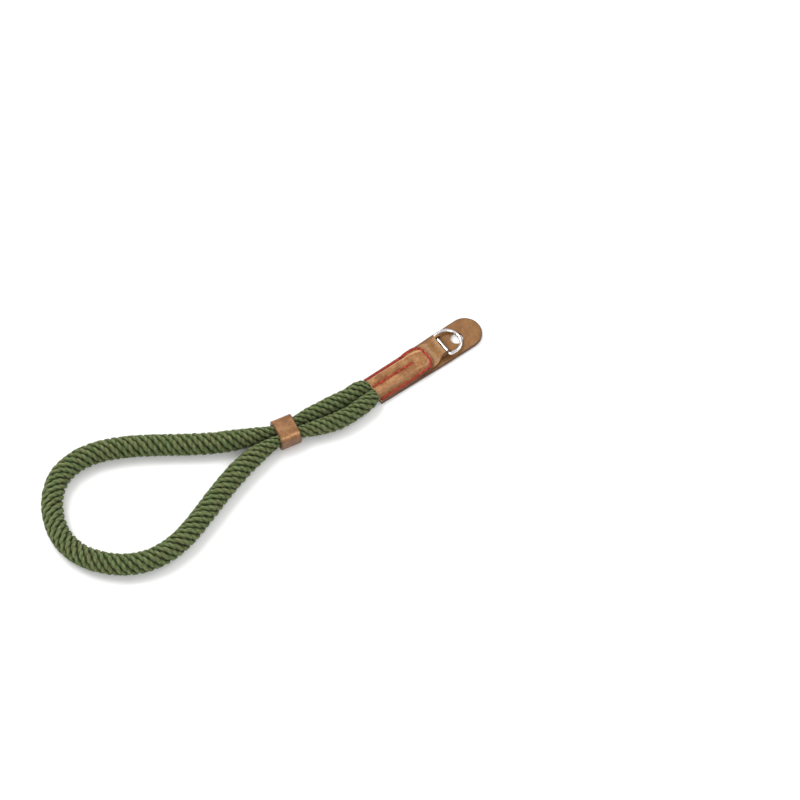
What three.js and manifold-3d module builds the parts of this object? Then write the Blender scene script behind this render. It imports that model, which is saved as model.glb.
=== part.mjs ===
// Camera wrist strap: one length of thick braided rope doubled into a hand loop, a leather keeper
// round both strands, and a leather end with a stitched cover, a ring tab, a D ring and a
// protector flap.
// Millimetres, +Z up. The origin is on the underside of the protector flap, straight below the
// ring's bar. +X runs along the leather end to the flap's tip, and the loop lies towards -X.
// Everything rests on the plane z = 0.

import * as THREE from "three";
import { mergeVertices } from "three/addons/utils/BufferGeometryUtils.js";
import Module from "manifold-3d";

const GAP = 0.3; // clearance between neighbouring pieces

// Protector flap: the flat base leather, with a round tip and a hole for the camera's lug.
const FLAP = {
  thick: 1.6,
  backX: -39.4,
  backHalfWidth: 7.1,
  halfWidth: 7.9,
  wideX: -2,
  tipCentreX: 12.9,
  holeX: 8.3,
  holeRadius: 3,
};

// Ring tab: a leather strip folded round the ring's bar, open in the middle so the bar shows.
const TAB = {
  thick: 1,
  backX: -14.6,
  underEndX: -2.6,
  bendTopX: -0.6,
  bendFootX: -6.9,
  backHalfWidth: 6.7,
  neckHalfWidth: 5,
  neckX: -3.2,
  shoulderX: -7.2,
  windowX: -1.3,
  windowHalfWidth: 3.9,
};

// D ring: bent wire, with its bar in the tab's fold.
const RING = {
  wireRadius: 0.75,
  halfWidth: 6.1,
  cornerRadius: 1.2,
  arcCentreX: 3.3,
  sides: 10,
};

// Stitched cover: domed over the two rope ends, with flat margins and a rounded far end.
const COVER = {
  thick: 1.2,
  mouthX: -39.4,
  endX: -7.6,
  halfWidth: 7.1,
  endHalfWidth: 2.6,
  roundX: -13.2,
  margin: 1.35,
  shoulder: 2.6,
  shoulderShare: 0.6,
  sideWall: 1,
  grooveDepth: 0.9,
  grooveHalfWidth: 1.3,
  grooveFullRise: 3,
  stepStartX: -19.1,
  stepEndX: -16.2,
};

// The cover's highest point along its length.
const COVER_CROWN = [
  { x: -39.4, top: 7.6 },
  { x: -30, top: 7.3 },
  { x: -21, top: 6.6 },
  { x: -15, top: 5.8 },
  { x: -12, top: 4.6 },
  { x: -7.6, top: 4.4 },
];

// Keeper: a closed leather band round both strands.
const KEEPER = {
  thick: 1.3,
  length: 9.8,
  halfWidth: 6.6,
  height: 10.8,
  cornerRadius: 3.5,
  x: -84.8,
  y: 4.6,
  turnDeg: -11,
};

// The rope's centreline from one hidden end round the loop to the other, with the width and
// height of its section, which the leather squeezes. At each row the rope lies on the floor, on
// the flap or in the keeper.
const ROUTE = [
  { x: -16, y: 1.75, z: 3, width: 2.9, height: 2.1 },
  { x: -30, y: 1.75, z: 3.75, width: 2.6, height: 3.6 },
  { x: -39.8, y: 1.7, z: 3.85, width: 2.5, height: 3.8 },
  { x: -44, y: 2.5, z: 4.6, width: 5.7, height: 7.1 },
  { x: -51, y: 2.95, z: 4.9, width: 7.7, height: 9.4 },
  { x: -61, y: 3.9, z: 5.2, width: 8.1, height: 10.2 },
  { x: -72, y: 5.45, z: 5.4, width: 6.8, height: 9.4 },
  { x: -79.5, y: 6.4, z: 5.4, width: 4.6, height: 7.6 },
  { x: -89.1, y: 8.2, z: 5.4, width: 4.6, height: 7.6 },
  { x: -97, y: 11.2, z: 5.25, width: 7.5, height: 9.9 },
  { x: -106.5, y: 15.4, z: 5.2, width: 10, height: 10.3 },
  { x: -117, y: 21.1, z: 5.2, width: 10.3, height: 10.3 },
  { x: -129, y: 29.2, z: 5.2, width: 10.3, height: 10.3 },
  { x: -142, y: 38.1, z: 5.2, width: 10.3, height: 10.3 },
  { x: -155.5, y: 45.4, z: 5.2, width: 10.3, height: 10.3 },
  { x: -168.5, y: 48.7, z: 5.2, width: 10.3, height: 10.3 },
  { x: -180.5, y: 46.9, z: 5.2, width: 10.3, height: 10.3 },
  { x: -189.5, y: 40.4, z: 5.2, width: 10.3, height: 10.3 },
  { x: -195.8, y: 30.8, z: 5.2, width: 10.3, height: 10.3 },
  { x: -198.8, y: 19.8, z: 5.2, width: 10.3, height: 10.3 },
  { x: -197.2, y: 8.8, z: 5.2, width: 10.3, height: 10.3 },
  { x: -191, y: -1.3, z: 5.2, width: 10.3, height: 10.3 },
  { x: -181.5, y: -9.3, z: 5.2, width: 10.3, height: 10.3 },
  { x: -169.5, y: -13.3, z: 5.2, width: 10.3, height: 10.3 },
  { x: -155.5, y: -12.6, z: 5.2, width: 10.3, height: 10.3 },
  { x: -141.5, y: -8.3, z: 5.2, width: 10.3, height: 10.3 },
  { x: -127, y: -3.1, z: 5.2, width: 10.3, height: 10.3 },
  { x: -114, y: 0.9, z: 5.2, width: 10.3, height: 10.3 },
  { x: -104, y: 2.8, z: 5.2, width: 9.3, height: 10.3 },
  { x: -96, y: 3.1, z: 5.3, width: 6.6, height: 9.6 },
  { x: -90.1, y: 2.9, z: 5.4, width: 4.6, height: 7.6 },
  { x: -80.5, y: 1.15, z: 5.4, width: 4.6, height: 7.6 },
  { x: -72.5, y: -1.85, z: 5.4, width: 6.8, height: 9.4 },
  { x: -62, y: -4.7, z: 5.2, width: 8.1, height: 10.2 },
  { x: -51, y: -4.95, z: 4.9, width: 7.7, height: 9.4 },
  { x: -44, y: -3.5, z: 4.6, width: 5.7, height: 7.1 },
  { x: -39.8, y: -1.65, z: 3.85, width: 2.4, height: 3.8 },
  { x: -30, y: -1.75, z: 3.75, width: 2.6, height: 3.6 },
  { x: -16, y: -1.75, z: 3, width: 2.9, height: 2.1 },
];
const ROPE_SIDES = 12;
const RINGS_PER_SPAN = 2;

const TAB_BOTTOM = FLAP.thick + GAP;
const BAR_Z = TAB_BOTTOM + TAB.thick + GAP + RING.wireRadius;
const ARC_REST_Z = FLAP.thick + GAP + RING.wireRadius;
const UP = new THREE.Vector3(0, 0, 1);

const wasm = await Module();
wasm.setup();

// ---- solids from meshes ----

// Leaves only positions, with each shared corner held once.
function welded(geometry) {
  geometry.deleteAttribute("normal");
  geometry.deleteAttribute("uv");
  return mergeVertices(geometry, 1e-4);
}

function toSolid(geometry) {
  const mesh = welded(geometry);
  return new wasm.Manifold(
    new wasm.Mesh({
      numProp: 3,
      vertProperties: new Float32Array(mesh.attributes.position.array),
      triVerts: new Uint32Array(mesh.index.array),
    })
  );
}

function toGeometry(solid) {
  const { vertProperties, triVerts } = solid.getMesh();
  const geometry = new THREE.BufferGeometry();
  geometry.setAttribute("position", new THREE.BufferAttribute(vertProperties, 3));
  geometry.setIndex(new THREE.BufferAttribute(triVerts, 1));
  return geometry;
}

function fromTriangles(points, triangles) {
  const geometry = new THREE.BufferGeometry().setFromPoints(points);
  geometry.setIndex(triangles);
  return geometry;
}

// Joins rings of points with equal counts. Without closing, the two ends get flat caps.
function loft(rings, closed) {
  const sides = rings[0].length;
  const triangles = [];
  const last = closed ? rings.length : rings.length - 1;
  for (let i = 0; i < last; i += 1) {
    const here = i * sides;
    const next = ((i + 1) % rings.length) * sides;
    for (let j = 0; j < sides; j += 1) {
      const k = (j + 1) % sides;
      triangles.push(here + j, here + k, next + k, here + j, next + k, next + j);
    }
  }
  const far = (rings.length - 1) * sides;
  for (let j = 1; j < sides - 1 && !closed; j += 1) {
    triangles.push(0, j + 1, j, far, far + j, far + j + 1);
  }
  return fromTriangles(rings.flat(), triangles);
}

// A closed sheet between two grids of points, upper and lower, with rows along +X and columns
// from +Y to -Y.
function thickSheet(upper, lower) {
  const rows = upper.length;
  const columns = upper[0].length;
  const under = rows * columns;
  const at = (i, j) => i * columns + j;
  const triangles = [];
  const quad = (a, b, c, d) => triangles.push(a, b, c, a, c, d);
  for (let i = 0; i < rows - 1; i += 1) {
    for (let j = 0; j < columns - 1; j += 1) {
      quad(at(i, j), at(i, j + 1), at(i + 1, j + 1), at(i + 1, j));
      quad(under + at(i, j), under + at(i + 1, j), under + at(i + 1, j + 1), under + at(i, j + 1));
    }
  }
  for (let i = 0; i < rows - 1; i += 1) {
    const far = columns - 1;
    quad(at(i, 0), at(i + 1, 0), under + at(i + 1, 0), under + at(i, 0));
    quad(at(i, far), under + at(i, far), under + at(i + 1, far), at(i + 1, far));
  }
  for (let j = 0; j < columns - 1; j += 1) {
    const end = rows - 1;
    quad(at(0, j), under + at(0, j), under + at(0, j + 1), at(0, j + 1));
    quad(at(end, j), at(end, j + 1), under + at(end, j + 1), under + at(end, j));
  }
  return fromTriangles([...upper.flat(), ...lower.flat()], triangles);
}

// Extrudes a shape drawn in X and Y upwards from z = bottom.
function plate(shape, bottom, height) {
  const geometry = new THREE.ExtrudeGeometry(shape, {
    depth: height,
    bevelEnabled: false,
    curveSegments: 20,
  });
  return geometry.translate(0, 0, bottom);
}

// ---- rope ----

// The rope's width and height at a place on the route, counted in rows.
function ropeSection(place) {
  const i = Math.min(Math.floor(place), ROUTE.length - 2);
  const width = THREE.MathUtils.lerp(ROUTE[i].width, ROUTE[i + 1].width, place - i);
  const height = THREE.MathUtils.lerp(ROUTE[i].height, ROUTE[i + 1].height, place - i);
  return { width, height };
}

function ropeGeometry() {
  const curve = new THREE.CatmullRomCurve3(
    ROUTE.map((row) => new THREE.Vector3(row.x, row.y, row.z)),
    false,
    "centripetal"
  );
  const steps = (ROUTE.length - 1) * RINGS_PER_SPAN;
  const rings = [];
  for (let step = 0; step <= steps; step += 1) {
    const centre = curve.getPoint(step / steps);
    const along = curve.getTangent(step / steps);
    const side = new THREE.Vector3().crossVectors(along, UP).normalize();
    const above = new THREE.Vector3().crossVectors(side, along);
    const { width, height } = ropeSection(step / RINGS_PER_SPAN);
    const ring = [];
    for (let j = 0; j < ROPE_SIDES; j += 1) {
      const angle = (2 * Math.PI * j) / ROPE_SIDES;
      const point = centre.clone();
      point.addScaledVector(side, (Math.cos(angle) * width) / 2);
      point.addScaledVector(above, (-Math.sin(angle) * height) / 2);
      ring.push(point);
    }
    rings.push(ring);
  }
  return loft(rings, false);
}

// ---- keeper ----

function roundedRectangle(path, halfWidth, low, high, radius) {
  path.moveTo(-halfWidth + radius, low);
  path.lineTo(halfWidth - radius, low);
  path.absarc(halfWidth - radius, low + radius, radius, -Math.PI / 2, 0);
  path.lineTo(halfWidth, high - radius);
  path.absarc(halfWidth - radius, high - radius, radius, 0, Math.PI / 2);
  path.lineTo(-halfWidth + radius, high);
  path.absarc(-halfWidth + radius, high - radius, radius, Math.PI / 2, Math.PI);
  path.lineTo(-halfWidth, low + radius);
  path.absarc(-halfWidth + radius, low + radius, radius, Math.PI, 1.5 * Math.PI);
  return path;
}

// The band's section is drawn across its length and stands up as it is turned.
function keeperGeometry() {
  const { thick, length, halfWidth, height, cornerRadius } = KEEPER;
  const band = roundedRectangle(new THREE.Shape(), halfWidth, 0, height, cornerRadius);
  const hole = roundedRectangle(
    new THREE.Path(),
    halfWidth - thick,
    thick,
    height - thick,
    cornerRadius - thick
  );
  band.holes.push(hole);
  const geometry = new THREE.ExtrudeGeometry(band, {
    depth: length,
    bevelEnabled: false,
    curveSegments: 7,
  });
  geometry.translate(0, 0, -length / 2);
  geometry.rotateX(Math.PI / 2);
  geometry.rotateZ(Math.PI / 2);
  return welded(geometry);
}

// ---- leather end ----

function between(table, x) {
  const next = Math.max(1, table.findIndex((row) => row.x >= x));
  const a = table[next - 1];
  const b = table[next];
  return THREE.MathUtils.mapLinear(x, a.x, b.x, a.top, b.top);
}

// Half the cover's width at x: straight sides, then a corner that turns into the far end.
function coverEdge(x) {
  const run = Math.max(0, (x - COVER.roundX) / (COVER.endX - COVER.roundX));
  const corner = COVER.halfWidth - COVER.endHalfWidth;
  return COVER.endHalfWidth + corner * Math.sqrt(Math.max(0, 1 - run * run));
}

// Where the section of the cover turns: its edge, the dome's foot and the dome's crown.
function coverTurns(x) {
  const edge = coverEdge(x);
  const foot = edge - COVER.margin;
  return { edge, foot, crownEdge: foot - Math.min(COVER.shoulder, COVER.shoulderShare * foot) };
}

// The cover's upper and lower height at a point. The dome's sides have a wall too, because the
// inner dome is narrower than the outer one.
function coverHeights(x, y) {
  const { thick, sideWall, grooveDepth, grooveHalfWidth, grooveFullRise } = COVER;
  const step = THREE.MathUtils.smoothstep(x, COVER.stepStartX, COVER.stepEndX);
  const seat = TAB_BOTTOM + step * (TAB.thick + GAP);
  const rise = between(COVER_CROWN, x) - seat - thick;
  const { foot, crownEdge } = coverTurns(x);
  const dome = (distance) => 1 - THREE.MathUtils.smoothstep(distance, crownEdge, foot);
  const depth = grooveDepth * Math.min(1, rise / grooveFullRise);
  const crown = rise - depth * Math.exp(-((y / grooveHalfWidth) ** 2));
  return {
    upper: seat + thick + crown * dome(Math.abs(y)),
    lower: seat + crown * dome(Math.abs(y) + sideWall),
  };
}

// Distances from the centreline at which a section of the cover has points.
function coverColumns(x) {
  const { edge, foot, crownEdge } = coverTurns(x);
  const half = [edge];
  for (let i = 0; i <= 7; i += 1) half.push(THREE.MathUtils.lerp(foot, crownEdge, i / 7));
  for (let i = 1; i <= 6; i += 1) half.push(THREE.MathUtils.lerp(crownEdge, 0, i / 7));
  return [...half, 0, ...half.map((distance) => -distance).reverse()];
}

function coverGeometry() {
  const { mouthX, roundX, endX } = COVER;
  const stations = [];
  for (let i = 0; i <= 9; i += 1) stations.push(THREE.MathUtils.lerp(mouthX, roundX, i / 9));
  for (let i = 1; i <= 6; i += 1) {
    stations.push(roundX + (endX - roundX) * Math.sin((Math.PI / 2) * (i / 6)));
  }
  const upper = [];
  const lower = [];
  for (const x of stations) {
    const columns = coverColumns(x);
    upper.push(columns.map((y) => new THREE.Vector3(x, y, coverHeights(x, y).upper)));
    lower.push(columns.map((y) => new THREE.Vector3(x, y, coverHeights(x, y).lower)));
  }
  return thickSheet(upper, lower);
}

function flapGeometry() {
  const { thick, backX, backHalfWidth, halfWidth, wideX, tipCentreX, holeX, holeRadius } = FLAP;
  const outline = new THREE.Shape();
  outline.moveTo(backX, -backHalfWidth);
  outline.lineTo(wideX, -halfWidth);
  outline.lineTo(tipCentreX, -halfWidth);
  outline.absarc(tipCentreX, 0, halfWidth, -Math.PI / 2, Math.PI / 2);
  outline.lineTo(wideX, halfWidth);
  outline.lineTo(backX, backHalfWidth);
  outline.closePath();
  outline.holes.push(new THREE.Path().absarc(holeX, 0, holeRadius, 0, 2 * Math.PI, true));
  return welded(plate(outline, 0, thick));
}

// The strip's centreline from its end under the cover, up over the bar and back beneath it.
function tabCentreline() {
  const low = TAB_BOTTOM + TAB.thick / 2;
  const foldRadius = BAR_Z - low;
  const top = BAR_Z + foldRadius;
  const reach = (TAB.bendTopX - TAB.bendFootX) / 2;
  const rise = new THREE.CubicBezierCurve(
    new THREE.Vector2(TAB.bendFootX, low),
    new THREE.Vector2(TAB.bendFootX + reach, low),
    new THREE.Vector2(TAB.bendTopX - reach, top),
    new THREE.Vector2(TAB.bendTopX, top)
  );
  const points = [new THREE.Vector2(TAB.backX, low), ...rise.getPoints(8)];
  for (let i = 0; i <= 10; i += 1) {
    const angle = Math.PI / 2 - (Math.PI * i) / 10;
    points.push(new THREE.Vector2(Math.cos(angle), Math.sin(angle)).multiplyScalar(foldRadius));
    points.at(-1).y += BAR_Z;
  }
  points.push(new THREE.Vector2(TAB.underEndX, low));
  return points;
}

// The outline of a strip of even thickness along a centreline.
function stripOutline(points, thickness) {
  const left = [];
  const right = [];
  points.forEach((point, i) => {
    const from = points[Math.max(0, i - 1)];
    const to = points[Math.min(points.length - 1, i + 1)];
    const along = to.clone().sub(from).normalize();
    const across = new THREE.Vector2(-along.y, along.x).multiplyScalar(thickness / 2);
    left.push(point.clone().add(across));
    right.push(point.clone().sub(across));
  });
  return new THREE.Shape([...right, ...left.reverse()]);
}

function tabGeometry() {
  const strip = new THREE.ExtrudeGeometry(stripOutline(tabCentreline(), TAB.thick), {
    depth: 2 * TAB.backHalfWidth,
    bevelEnabled: false,
  });
  strip.translate(0, 0, -TAB.backHalfWidth);
  strip.rotateX(Math.PI / 2);

  const { backX, shoulderX, neckX, backHalfWidth, neckHalfWidth } = TAB;
  const frontX = 2 * (BAR_Z - TAB_BOTTOM);
  const half = [
    [backX, backHalfWidth],
    [shoulderX, backHalfWidth],
    [neckX, neckHalfWidth],
    [frontX, neckHalfWidth],
  ];
  const outline = [...half, ...half.map(([x, y]) => [x, -y]).reverse()];
  const plan = new THREE.Shape(outline.map(([x, y]) => new THREE.Vector2(x, y)));
  const tall = 2 * BAR_Z;
  const window = new THREE.BoxGeometry(frontX - TAB.windowX, 2 * TAB.windowHalfWidth, tall);
  const plyTop = TAB_BOTTOM + TAB.thick;
  window.translate((frontX + TAB.windowX) / 2, 0, plyTop + tall / 2);
  const kept = toSolid(strip).intersect(toSolid(plate(plan, 0, tall)));
  return toGeometry(kept.subtract(toSolid(window)));
}

// ---- ring ----

// The wire's centreline in the ring's own plane, bar on the Y axis and arc towards +X.
function ringPath() {
  const { halfWidth, cornerRadius, arcCentreX } = RING;
  const path = new THREE.Path();
  path.moveTo(0, 0);
  path.lineTo(0, -halfWidth + cornerRadius);
  path.absarc(cornerRadius, -halfWidth + cornerRadius, cornerRadius, Math.PI, 1.5 * Math.PI);
  path.lineTo(arcCentreX, -halfWidth);
  path.absarc(arcCentreX, 0, halfWidth, -Math.PI / 2, Math.PI / 2);
  path.lineTo(cornerRadius, halfWidth);
  path.absarc(cornerRadius, halfWidth - cornerRadius, cornerRadius, Math.PI / 2, Math.PI);
  path.closePath();
  return path;
}

function ringGeometry() {
  const flat = ringPath().getPoints(6);
  const points = flat.filter((point, i) => i === 0 || point.distanceTo(flat[i - 1]) > 1e-6);
  if (points[0].distanceTo(points.at(-1)) < 1e-6) points.pop();
  const count = points.length;
  const rings = points.map((point, i) => {
    const along = points[(i + 1) % count].clone().sub(points[(i + count - 1) % count]).normalize();
    const ring = [];
    for (let j = 0; j < RING.sides; j += 1) {
      const angle = (2 * Math.PI * j) / RING.sides;
      const out = RING.wireRadius * Math.cos(angle);
      const up = -RING.wireRadius * Math.sin(angle);
      ring.push(new THREE.Vector3(point.x + along.y * out, point.y - along.x * out, up));
    }
    return ring;
  });
  return loft(rings, true);
}

// ---- assembly ----

const ropeGreen = { color: 0x5f7040, roughness: 0.95, metalness: 0 };
const leatherTan = { color: 0x9c6238, roughness: 0.6, metalness: 0 };
const leatherBrown = { color: 0x8f5a33, roughness: 0.6, metalness: 0 };
const chrome = { color: 0xd8d8d8, roughness: 0.15, metalness: 1 };

function piece(name, geometry, look) {
  geometry.computeVertexNormals();
  const mesh = new THREE.Mesh(geometry, new THREE.MeshStandardMaterial(look));
  mesh.name = name;
  return mesh;
}

const strap = new THREE.Group();
strap.add(piece("rope", ropeGeometry(), ropeGreen));

const keeper = piece("keeper", keeperGeometry(), leatherBrown);
keeper.position.set(KEEPER.x, KEEPER.y, 0);
keeper.rotation.z = THREE.MathUtils.degToRad(KEEPER.turnDeg);
strap.add(keeper);

strap.add(piece("protector_flap", flapGeometry(), leatherTan));
strap.add(piece("ring_tab", tabGeometry(), leatherTan));
strap.add(piece("sleeve_cover", coverGeometry(), leatherTan));

// The ring lies with its arc on the flap, on both sides of the lug hole.
const ring = piece("ring", ringGeometry(), chrome);
ring.position.set(0, 0, BAR_Z);
ring.rotation.y = Math.atan2(BAR_Z - ARC_REST_Z, RING.arcCentreX + RING.halfWidth);
strap.add(ring);

export default strap;
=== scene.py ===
"""Camera wrist strap: a braided rope hand loop with a leather keeper, a stitched leather end and a
D ring, lying on a pale floor.

A piece is worked out in millimetres and turned into metres when its mesh is made. The camera, the
lights and the rope's route are in metres. All of it is in the frame's own coordinates.
"""

import math

import bpy
import numpy as np
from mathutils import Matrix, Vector


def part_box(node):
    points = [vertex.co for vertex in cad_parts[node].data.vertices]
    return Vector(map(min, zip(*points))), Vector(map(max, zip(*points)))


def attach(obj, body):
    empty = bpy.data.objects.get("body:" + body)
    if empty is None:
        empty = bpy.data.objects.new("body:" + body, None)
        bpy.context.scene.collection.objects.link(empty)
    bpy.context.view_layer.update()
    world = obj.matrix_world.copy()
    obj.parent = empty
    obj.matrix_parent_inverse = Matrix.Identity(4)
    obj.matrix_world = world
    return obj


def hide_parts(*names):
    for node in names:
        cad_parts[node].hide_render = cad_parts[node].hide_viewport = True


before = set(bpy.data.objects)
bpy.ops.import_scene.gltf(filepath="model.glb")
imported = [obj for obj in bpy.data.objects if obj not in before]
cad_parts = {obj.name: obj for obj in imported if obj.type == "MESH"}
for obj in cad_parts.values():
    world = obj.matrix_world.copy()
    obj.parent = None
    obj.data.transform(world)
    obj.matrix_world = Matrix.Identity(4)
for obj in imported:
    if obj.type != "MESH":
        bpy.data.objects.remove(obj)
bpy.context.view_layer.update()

MM = 0.001


def frame_box(node):
    """The lowest and highest corner of a CAD node, in millimetres."""
    low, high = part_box(node)
    return np.array(low) / MM, np.array(high) / MM


# ---- camera ----

VIEW_ELEVATION = math.radians(60)
VIEW_HEADING = math.radians(36.5)  # from +Y towards +X
VIEW_DISTANCE = 8.0
VIEW_LENS = 792
VIEW_CLIP_END = 100
VIEW_TARGET = Vector((-0.0313, -0.0102, 0))


def add_camera():
    level = math.cos(VIEW_ELEVATION)
    ahead = Vector(
        (
            math.sin(VIEW_HEADING) * level,
            math.cos(VIEW_HEADING) * level,
            -math.sin(VIEW_ELEVATION),
        )
    )
    camera = bpy.data.objects.new("camera", bpy.data.cameras.new("camera"))
    camera.data.lens = VIEW_LENS
    camera.data.clip_end = VIEW_CLIP_END
    camera.location = VIEW_TARGET - ahead * VIEW_DISTANCE
    camera.rotation_euler = ahead.to_track_quat("-Z", "Y").to_euler()
    bpy.context.scene.collection.objects.link(camera)
    bpy.context.scene.camera = camera


add_camera()


# ---- curves ----


def unit(vectors):
    return vectors / np.linalg.norm(vectors, axis=-1, keepdims=True)


def smoothstep(value, low, high):
    t = np.clip((value - low) / (high - low), 0, 1)
    return t * t * (3 - 2 * t)


def bell(value, width, power=2):
    """1 where the value is 0, falling to 1/e where it is width."""
    return np.exp(-((value / width) ** power))


def circle(count):
    """The angles of count points round a circle."""
    return 2 * np.pi * np.arange(count) / count


def hoops(side, above, turn):
    """For each side and above, the directions at each turn from one towards the other."""
    return side[:, None] * np.cos(turn)[:, None] + above[:, None] * np.sin(turn)[:, None]


def run_length(line):
    """How far along a line each of its points lies."""
    steps = np.linalg.norm(np.diff(line, axis=0), axis=1)
    return np.concatenate([[0], np.cumsum(steps)])


def read_at(table, run, distance):
    """The rows of a table, one for each place in run, read at any distance."""
    return np.stack([np.interp(distance, run, column) for column in table.T], axis=-1)


# ---- meshes ----

RIM_STEPS = 3
NEARLY_UPRIGHT = 0.9
SHARP_FROM = math.radians(50)


def add_mesh(name, points, faces, material, uv=None, values=None):
    """A smooth mesh from points in millimetres. uv has a pair for each corner of each face, and
    values holds a number for each vertex under each attribute's name."""
    mesh = bpy.data.meshes.new(name)
    mesh.from_pydata((np.asarray(points) * MM).tolist(), [], faces)
    mesh.shade_smooth()
    if uv is not None:
        layer = mesh.uv_layers.new(name="Strand")
        layer.data.foreach_set("uv", np.asarray(uv, dtype=np.float32).ravel())
    for key, numbers in (values or {}).items():
        attribute = mesh.attributes.new(key, "FLOAT", "POINT")
        attribute.data.foreach_set("value", np.asarray(numbers, dtype=np.float32))
    mesh.materials.append(material)
    mesh.update()
    piece = bpy.data.objects.new(name, mesh)
    bpy.context.scene.collection.objects.link(piece)
    return piece


def band(here, there):
    """The faces between two loops of as many points, given by the points' numbers."""
    count = len(here)
    faces = []
    for j in range(count):
        k = (j + 1) % count
        faces.append((here[j], there[j], there[k], here[k]))
    return faces


def tube_faces(count, sides, closed=False):
    """The faces of a tube of count rings of points. An open tube gets end caps."""
    number = np.arange(count * sides).reshape(count, sides).tolist()
    faces = []
    for i in range(count if closed else count - 1):
        faces += band(number[i], number[(i + 1) % count])
    if not closed:
        faces += [tuple(number[0]), tuple(reversed(number[-1]))]
    return faces


def tube(line, radius, sides, closed=False):
    """Points and faces of a round tube along a line."""
    if closed:
        along = unit(np.roll(line, -1, axis=0) - np.roll(line, 1, axis=0))
    else:
        along = unit(np.gradient(line, axis=0))
    upright = np.abs(along[:, 2:]) >= NEARLY_UPRIGHT
    side = unit(np.cross(along, np.where(upright, [[1.0, 0, 0]], [[0, 0, 1.0]])))
    above = np.cross(side, along)
    points = (line[:, None] + radius * hoops(side, above, circle(sides))).reshape(-1, 3)
    return points, tube_faces(len(line), sides, closed)


def joined(parts):
    """Several (points, faces) as one."""
    points, faces, start = [], [], 0
    for some_points, some_faces in parts:
        points.append(some_points)
        faces += [tuple(start + i for i in face) for face in some_faces]
        start += len(some_points)
    return np.concatenate(points), faces


def plan_grid(x, edge, columns):
    """x and y of a grid seen from above: its rows lie at x and run from edge to -edge."""
    share = np.linspace(1, -1, columns)
    return np.repeat(x[:, None], columns, axis=1), edge[:, None] * share[None, :]


def borders(number, wrapped):
    """The loops of points round a grid's edge, each with the loop one step inside it."""
    if wrapped:
        return [(number[0, ::-1], number[1, ::-1]), (number[-1], number[-2])]
    edge = [number[:-1, 0], number[-1, :-1], number[:0:-1, -1], number[0, :0:-1]]
    inner = [number[:-1, 1], number[-2, :-1], number[:0:-1, -2], number[1, :0:-1]]
    return [(np.concatenate(edge), np.concatenate(inner))]


def rimmed_sheet(upper, lower, rim, wrapped=False):
    """A closed sheet between two grids of points whose edges are rounded. The grids stop short of
    the edge by rim. A wrapped sheet's columns close on themselves, so only its ends have edges.
    Gives points, faces and, for each point, 1 on the rim and 0 elsewhere."""
    rows, columns = upper.shape[:2]
    number = np.arange(rows * columns).reshape(rows, columns)
    under = rows * columns
    faces = []
    for i in range(rows - 1):
        for j in range(columns if wrapped else columns - 1):
            k = (j + 1) % columns
            a, b, c, d = number[i, j], number[i, k], number[i + 1, k], number[i + 1, j]
            faces.append((a, b, c, d))
            faces.append((under + a, under + d, under + c, under + b))
    top, bottom = upper.reshape(-1, 3), lower.reshape(-1, 3)
    points = [top, bottom]
    on_rim = [np.zeros(2 * under)]
    start = 2 * under
    angles = np.pi / 2 * np.arange(1, RIM_STEPS + 1) / RIM_STEPS
    for edge, inner in borders(number, wrapped):
        middle = (top[edge] + bottom[edge]) / 2
        through = unit(top[edge] - bottom[edge])
        along = np.roll(middle, -1, axis=0) - np.roll(middle, 1, axis=0)
        outward = unit(np.cross(along, through))
        inside = (top[inner] + bottom[inner]) / 2
        outward *= np.sign(((middle - inside) * outward).sum(1, keepdims=True))
        rings = [edge]
        for base, sign, turns in ((top, -1, angles), (bottom, 1, angles[::-1])):
            for angle in turns:
                out = outward * rim * math.sin(angle)
                points.append(base[edge] + out + sign * through * rim * (1 - math.cos(angle)))
                on_rim.append(np.ones(len(edge)))
                rings.append(start + np.arange(len(edge)))
                start += len(edge)
        rings.append(under + edge)
        for here, there in zip(rings[:-1], rings[1:]):
            faces += band(here, there)
    return np.concatenate(points), faces, np.concatenate(on_rim)


def cut(piece, points, faces):
    """Cuts a closed shape out of a piece."""
    mesh = bpy.data.meshes.new("cutter")
    mesh.from_pydata((np.asarray(points) * MM).tolist(), [], faces)
    cutter = bpy.data.objects.new("cutter", mesh)
    bpy.context.scene.collection.objects.link(cutter)
    modifier = piece.modifiers.new("cut", "BOOLEAN")
    modifier.operation = "DIFFERENCE"
    modifier.solver = "EXACT"
    modifier.object = cutter
    graph = bpy.context.evaluated_depsgraph_get()
    made = bpy.data.meshes.new_from_object(piece.evaluated_get(graph))
    piece.modifiers.clear()
    old, piece.data = piece.data, made
    bpy.data.meshes.remove(old)
    bpy.data.objects.remove(cutter)
    piece.data.name = piece.name
    piece.data.set_sharp_from_angle(angle=SHARP_FROM)


# ---- materials ----


def add_node(tree, kind, inputs=(), **settings):
    node = tree.nodes.new(kind)
    for key, value in settings.items():
        setattr(node, key, value)
    for key, value in dict(inputs).items():
        if isinstance(value, bpy.types.NodeSocket):
            tree.links.new(value, node.inputs[key])
        else:
            node.inputs[key].default_value = value
    return node


def new_material(name):
    material = bpy.data.materials.new(name)
    material.use_nodes = True
    tree = material.node_tree
    return material, tree, tree.nodes["Principled BSDF"]


def ramp(tree, factor, stops):
    """A colour for each factor, from (place, colour) stops."""
    node = add_node(tree, "ShaderNodeValToRGB", {"Fac": factor})
    elements = node.color_ramp.elements
    while len(elements) < len(stops):
        elements.new(0.5)
    for element, (place, colour) in zip(elements, stops):
        element.position = place
        element.color = (*colour, 1)
    return node.outputs["Color"]


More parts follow.
